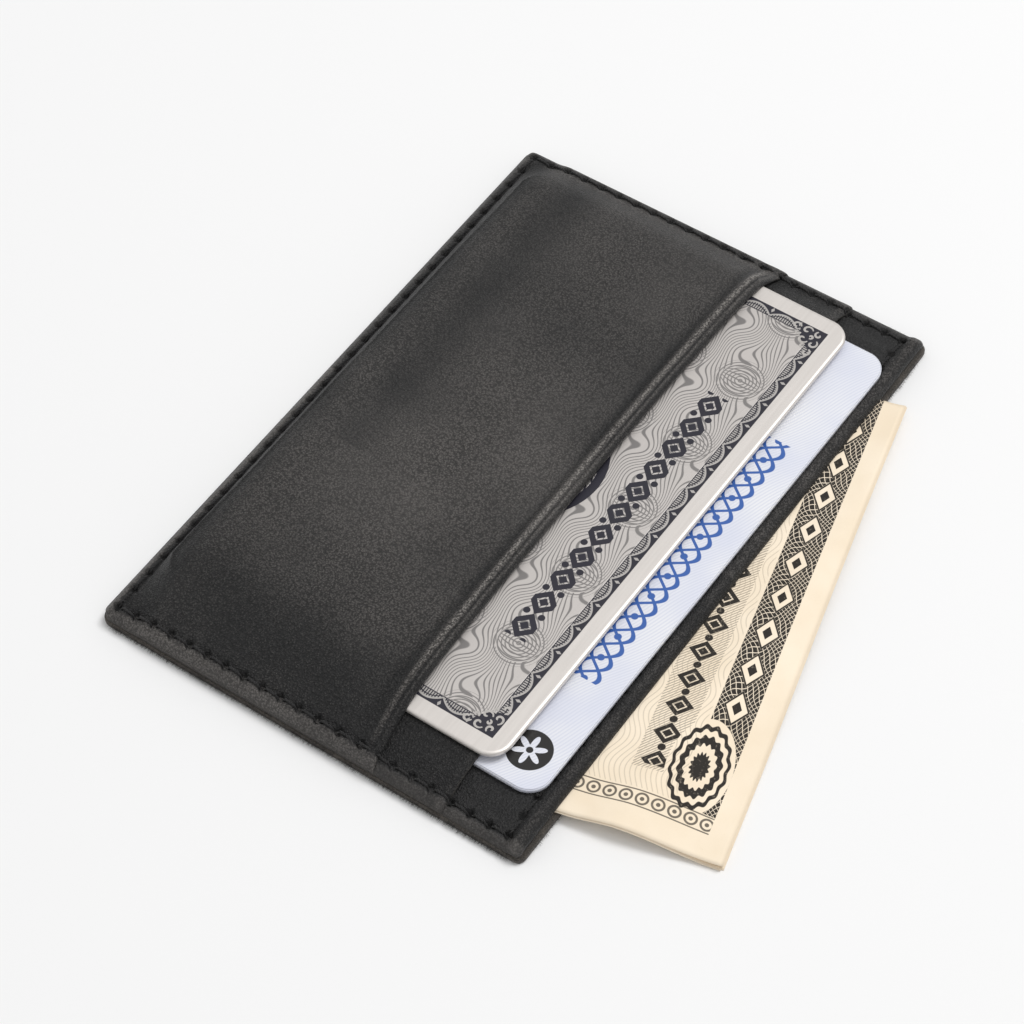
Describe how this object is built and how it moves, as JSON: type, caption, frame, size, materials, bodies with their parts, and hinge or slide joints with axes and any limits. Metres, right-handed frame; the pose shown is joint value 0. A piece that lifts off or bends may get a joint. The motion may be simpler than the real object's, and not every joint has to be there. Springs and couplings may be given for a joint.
{
  "type": "card holder",
  "caption": "Slim sewn leather card holder with stepped front pockets and an open note pocket, shown holding cards and a folded note.",
  "frame": {"origin": "centre of the back panel's flat face, halfway between the side edges and between the base edge and the front panel's head edge", "axes": "+X along the pocket mouths, +Y from the closed base edge to the open head edge, +Z out of the front"},
  "size_m": [0.1006, 0.088, 0.007],
  "materials": {
    "back_leather": "burnished charcoal full-grain leather with a napped flesh side",
    "front_leather": "burnished charcoal full-grain leather",
    "inner_leather": "burnished charcoal full-grain leather",
    "outer_leather": "burnished charcoal full-grain leather, rubbed lighter in the middle",
    "thread": "black waxed polyester thread",
    "card_metal": "satin steel with a bright bevelled edge and dark printed ornament",
    "card_plastic": "laminated plastic, pale blue with fine printed waves",
    "note_paper": "cream cotton paper with dark fine-line printing"
  },
  "bodies": {
    "holder": {"back_panel": "back_leather", "front_panel": "front_leather", "inner_pocket": "inner_leather", "outer_pocket": "outer_leather", "seam_needle_thread": "thread", "seam_bobbin_thread": "thread", "head_needle_thread": "thread", "head_bobbin_thread": "thread", "pocket_needle_thread": "thread", "pocket_bobbin_thread": "thread"},
    "metal_card": {"metal_card": "card_metal"},
    "identity_card": {"identity_card": "card_plastic"},
    "folded_note": {"folded_note": "note_paper"}
  },
  "joints": [
    {"name": "metal_card_slide", "type": "slide", "parent": "holder", "child": "metal_card", "axis": [0, 1, 0], "range_m": [0, 0.036]},
    {"name": "identity_card_slide", "type": "slide", "parent": "holder", "child": "identity_card", "axis": [0, 1, 0], "range_m": [0, 0.041]},
    {"name": "note_slide", "type": "slide", "parent": "holder", "child": "folded_note", "axis": [0, 1, 0], "range_m": [-0.031, 0.026]}
  ]
}
